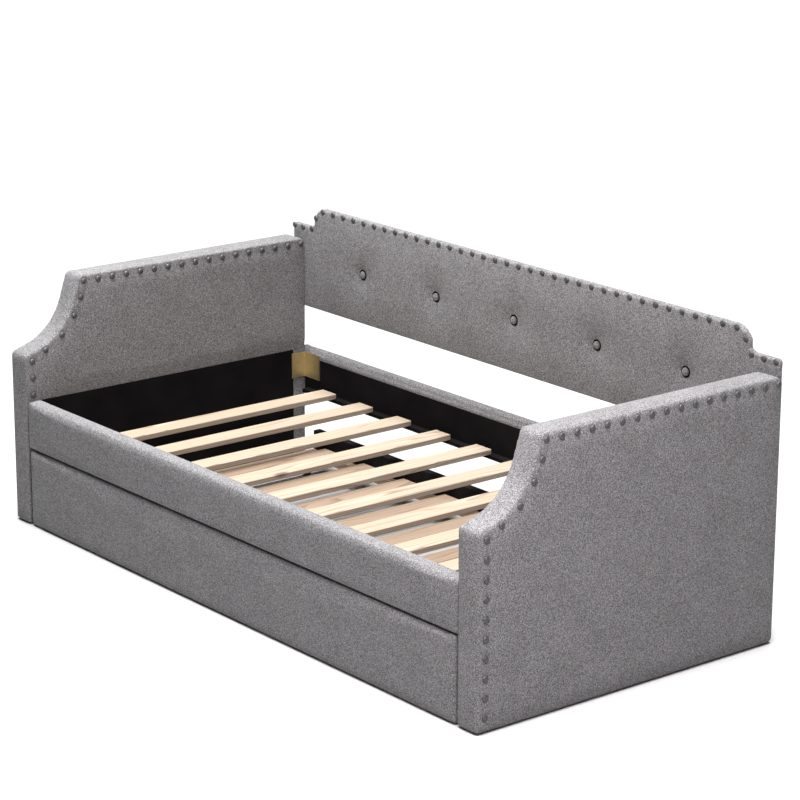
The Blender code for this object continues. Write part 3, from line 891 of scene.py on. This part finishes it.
def start_back_panel():
    shape = push_out(rounded_outline(panel_corners()), "Y", panel_low.y,
                     panel_high.y - 0.0005, PANEL_FRONT_EDGE, PANEL_REAR_EDGE)
    panel = object_from(shape, "back_panel_padding")
    even_mesh(panel, PANEL_VOXEL)
    front_line = panel_low.y + FACE_DEPTH
    for vertex in panel.data.vertices:
        if vertex.co.y < front_line:
            vertex.co.y += tuft(vertex.co.x, vertex.co.z)
    nailed = near_any(PANEL_FRONT_NAILS, PANEL_NAIL_GRIP)
    clamp = inner_x - ARM_CLAMP

    def held(vertex):
        x, y, z = vertex.co
        if y > panel_low.y + WADDING_DEPTH or z < panel_low.z + PANEL_FOLD:
            return True
        if abs(x) > clamp or nailed(vertex.co):
            return True
        return any(math.hypot(x - b.x, z - b.z) < TUFT_GRIP for b in BUTTONS)

    prepare_cloth(panel, held, PANEL_SWELL, PANEL_PRESSURE)
    return panel


back_panel = start_back_panel()
print("back panel:", len(back_panel.data.vertices), "vertices before filling")

# %% [markdown]
# ## The rails and the trundle's front
#
# These are boards wrapped in thin wadding, with rounded long edges. One function makes all
# three: the section is an outline with four rounded corners, pushed along the bed, and the
# two upper corners at its ends are then drawn in to an arc. The ends are held, because a
# folded and stapled end can't swell, and neither can a face under a lining.

# %% A padded board
BOARD_SWELL = 0.0022
LOWER_EDGE, END_EDGE = 0.006, 0.004
FOLDED_END = 0.008              # the stapled fold at a board's end and along its back
LINED_DEPTH = 0.006             # a lining holds the cloth to this depth


def start_board(name, node, top_radius, end_corner, longer, fuller, held):
    low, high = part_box(node)
    end = high.x + longer
    corners = [
        (low.y - fuller, low.z - fuller, LOWER_EDGE),
        (low.y - fuller, high.z, top_radius),
        (high.y, high.z, top_radius),
        (high.y, low.z - fuller, LOWER_EDGE),
    ]
    outline = rounded_outline(corners, math.radians(15))
    board = object_from(push_out(outline, "X", -end, end, END_EDGE, END_EDGE), name)
    even_mesh(board, PANEL_VOXEL)
    if end_corner:
        for vertex in board.data.vertices:
            out = Vector((abs(vertex.co.x) - (end - end_corner),
                          vertex.co.z - (high.z - end_corner)))
            if out.x > 0 and out.y > 0 and out.length > end_corner:
                out *= 1 - end_corner / out.length
                vertex.co.x -= math.copysign(out.x, vertex.co.x)
                vertex.co.z -= out.y

    def folded_or_held(vertex):
        return abs(vertex.co.x) > end - FOLDED_END or held(vertex.co, low, high)

    prepare_cloth(board, folded_or_held, BOARD_SWELL)
    return board


print("a board's cloth may swell", BOARD_SWELL * 1000, "mm")


# %% The rails and the trundle's front
def below_or_behind(point, low, high):
    return point.z < low.z + FOLDED_END or point.y > high.y - FOLDED_END


def below_or_lined(point, low, high):
    lined = point.y < low.y + LINED_DEPTH and point.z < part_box("back_rail_lining")[1].z
    return point.z < low.z + FOLDED_END or lined


front_rail = start_board("front_rail_padding", "front_rail", 0.017, 0.020, -0.0005, 0.002,
                         below_or_behind)
back_rail = start_board("back_rail_padding", "back_rail", 0.0135, 0.0, 0.0, 0.0,
                        below_or_lined)
trundle_front = start_board("trundle_front_padding", "trundle_front", 0.013, 0.006, 0.010,
                            0.003, below_or_behind)
print("boards:", front_rail.name, back_rail.name, trundle_front.name)

# %% [markdown]
# ## Filling and dressing
#
# All the cloths are filled in one run of the clock. Then each gets its dents, its
# finer mesh and its cloth, and says which body it rides on.

# %% Fill, dent and dress
NAIL_DENT, NAIL_DENT_RADIUS = 0.0024, 0.018
THICK_FILL, THIN_FILL, BUTTON_FILL = 0.85, 0.7, 0.9


def press_nail_dents(piece, places, inward):
    press_dents(piece, places, inward, NAIL_DENT, NAIL_DENT_RADIUS)


def mirrored(piece, name):
    """A copy on the other side of the bed, with its faces turned right side out again."""
    shape = bmesh.new()
    shape.from_mesh(piece.data)
    bmesh.ops.scale(shape, verts=shape.verts[:], vec=(-1, 1, 1))
    bmesh.ops.reverse_faces(shape, faces=shape.faces[:])
    return object_from(shape, name)


def dress_all():
    for piece in (right_arm, back_panel, front_rail, back_rail, trundle_front):
        subdivide(piece)
    press_nail_dents(right_arm, OUTER_NAILS, (-1, 0, 0))
    press_nail_dents(right_arm, INNER_NAILS, (1, 0, 0))
    press_nail_dents(back_panel, PANEL_FRONT_NAILS, (0, 1, 0))
    left_arm = mirrored(right_arm, "left_arm_padding")
    dress(right_arm, BED, THICK_FILL, "right_arm_cover")
    dress(left_arm, BED, THICK_FILL, "left_arm_cover")
    dress(back_panel, BED, THIN_FILL, "back_panel_cover")
    dress(front_rail, BED, THICK_FILL, "front_rail")
    dress(back_rail, BED, THICK_FILL, "back_rail")
    dress(trundle_front, TRUNDLE, THICK_FILL, "trundle_front")


if to_fill:
    fill_all()
dress_all()

# %% [markdown]
# ## Nails and buttons
#
# A nail's head is a dome with a thin rim, as wide as a fingernail. There are more than a
# hundred and fifty, so one head is spun from a short profile with few steps, and a copy is
# set at every place in one mesh. A real instance would be lighter still, but the export
# needs true faces.

# %% A nail's head
NAIL_RADIUS = 0.0094
NAIL_HEIGHT = 0.0044
NAIL_RIM = 0.0012
NAIL_SINK = 0.0010


def dome(radius, height, rim, rings, steps):
    """A dome that stands on z = 0, closed underneath."""
    shape = bmesh.new()
    profile = [Vector((0, 0, 0)), Vector((radius, 0, 0)), Vector((radius, 0, rim))]
    for i in range(1, rings + 1):
        angle = math.pi / 2 * i / rings
        profile.append(Vector((radius * math.cos(angle), 0,
                               rim + (height - rim) * math.sin(angle))))
    verts = [shape.verts.new(p) for p in profile]
    edges = [shape.edges.new(pair) for pair in zip(verts, verts[1:])]
    bmesh.ops.spin(shape, geom=verts + edges, cent=(0, 0, 0), axis=(0, 0, 1),
                   angle=2 * math.pi, steps=steps, use_merge=True)
    bmesh.ops.remove_doubles(shape, verts=shape.verts[:], dist=0.00002)
    bmesh.ops.recalc_face_normals(shape, faces=shape.faces[:])
    return shape


print("a nail's head is", NAIL_RADIUS * 2000, "mm across")


# %% Copies of one pattern
def copies(name, pattern, places, outward, material, body, sink):
    """One mesh with the pattern at every place, its z along outward."""
    turn = Vector(outward).to_track_quat("Z", "Y").to_matrix().to_4x4()
    source = bpy.data.meshes.new(name + "_one")
    pattern.to_mesh(source)
    pattern.free()
    whole = bmesh.new()
    for place in places:
        known = len(whole.verts)
        whole.from_mesh(source)
        whole.verts.ensure_lookup_table()
        spot = Matrix.Translation(place - Vector(outward) * sink) @ turn
        bmesh.ops.transform(whole, matrix=spot, verts=whole.verts[known:])
    bpy.data.meshes.remove(source)
    made = object_from(whole, name, material)
    made.data.shade_smooth()
    made.data.set_sharp_from_angle(angle=math.radians(50))
    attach(made, body)
    return made


print("a row of copies is one mesh")


# %% All the nails
def add_nails():
    total = 0
    rows = [("back_panel_nails", PANEL_FRONT_NAILS, (0, -1, 0))]
    for side, sign in (("left", -1), ("right", 1)):
        for face, places, out in (("outer", OUTER_NAILS, sign), ("inner", INNER_NAILS, -sign)):
            spots = [Vector((sign * p.x, p.y, p.z)) for p in places]
            rows.append((f"{side}_arm_{face}_nails", spots, (out, 0, 0)))
    for name, spots, outward in rows:
        head = dome(NAIL_RADIUS, NAIL_HEIGHT, NAIL_RIM, 3, 12)
        copies(name, head, spots, outward, PEWTER, BED, NAIL_SINK)
        total += len(spots)
    print("nails:", total)


add_nails()

# %% [markdown]
# A tuft button is a metal shell pressed over with the same cloth. It is a fuller dome than
# a nail's head, with its edge drawn in.

# %% Tuft buttons
BUTTON_RADIUS, BUTTON_HEIGHT, BUTTON_RIM = 0.0118, 0.0112, 0.0045
BUTTON_SINK = 0.0120


def add_buttons():
    for number, place in enumerate(BUTTONS, 1):
        shape = dome(BUTTON_RADIUS, BUTTON_HEIGHT, BUTTON_RIM, 6, 24)
        name = f"tuft_button_cloth_{number}"
        button = copies(name, shape, [place], (0, -1, 0), LINEN, BED, BUTTON_SINK)
        lay_cloth_uv(button.data)
        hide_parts(f"tuft_button_{number}")
    print("buttons:", len(BUTTONS))


add_buttons()

# %% [markdown]
# Behind the panel the black cloth is stapled down round its edge, every two and a half
# inches. Only a staple's crown shows, a short flat wire, so each is one thin box.

# %% Staples
STAPLE_CROWN, STAPLE_WIDTH, STAPLE_HEIGHT = 0.0110, 0.0012, 0.0008
STAPLE_PITCH = 0.0635
STAPLE_MARGIN = 0.0170


def add_staples():
    line = rounded_outline(moved_in(panel_corners(), STAPLE_MARGIN))
    line.append(line[0])
    length = sum((b - a).length for a, b in zip(line, line[1:]))
    spots = spaced_along(line, round(length / STAPLE_PITCH))[:-1]
    crown = bmesh.new()
    bmesh.ops.create_cube(crown, size=1.0)
    bmesh.ops.scale(crown, vec=(STAPLE_CROWN, STAPLE_WIDTH, STAPLE_HEIGHT),
                    verts=crown.verts[:])
    places = [Vector((p.x, panel_high.y, p.y)) for p in spots]
    row = copies("back_panel_staples", crown, places, (0, 1, 0), BRIGHT_ZINC, BED, 0.0)
    print("staples:", len(places))


add_staples()
